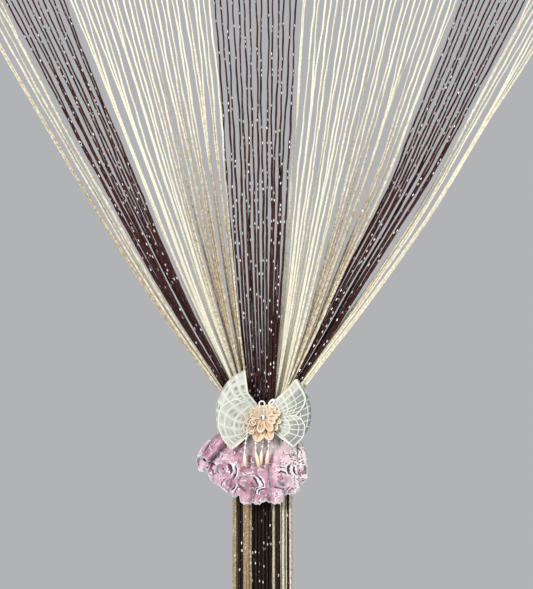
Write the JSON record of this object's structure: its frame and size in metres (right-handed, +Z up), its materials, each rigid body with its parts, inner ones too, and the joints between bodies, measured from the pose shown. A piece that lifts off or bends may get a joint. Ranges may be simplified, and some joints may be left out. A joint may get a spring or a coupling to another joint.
{
  "type": "string curtain with bow and flower tie-back",
  "caption": "Curtain of cream and brown glitter strings under a rod-pocket heading, gathered by a gauze bow with a satin flower, pendants and a printed frill.",
  "frame": {"origin": "middle of the heading's top edge", "axes": "+X along the heading to the right, seen from the decorated side; +Y to the back, away from the bow; +Z up"},
  "size_m": [1, 0.057, 2.0032],
  "materials": {
    "woven_band": "matt woven polyester band",
    "cream_yarn": "flat braided yarn with silver thread",
    "brown_yarn": "flat braided yarn with silver thread",
    "stiff_gauze": "stiff sheer gauze with a woven check",
    "printed_cloth": "thin printed cloth with a sheer top",
    "peach_satin": "satin",
    "clear_stone": "faceted and foil-backed",
    "cream_cord": "smooth cord",
    "pearl": "pearly"
  },
  "bodies": {
    "root": {"heading": "woven_band", "strings_cream_outer_left": "cream_yarn", "strings_brown_left": "brown_yarn", "strings_cream_left": "cream_yarn", "strings_brown_middle": "brown_yarn", "strings_cream_right": "cream_yarn", "strings_brown_right": "brown_yarn", "strings_cream_outer_right": "cream_yarn", "tie_band": "woven_band", "bow": "stiff_gauze", "frill": "printed_cloth", "flower_back": "peach_satin", "flower_front": "peach_satin", "gem": "clear_stone", "ring_loop": "cream_cord", "slant_loop": "cream_cord", "pendant_1": "pearl", "pendant_2": "pearl", "pendant_3": "pearl", "pendant_4": "pearl"}
  },
  "joints": []
}
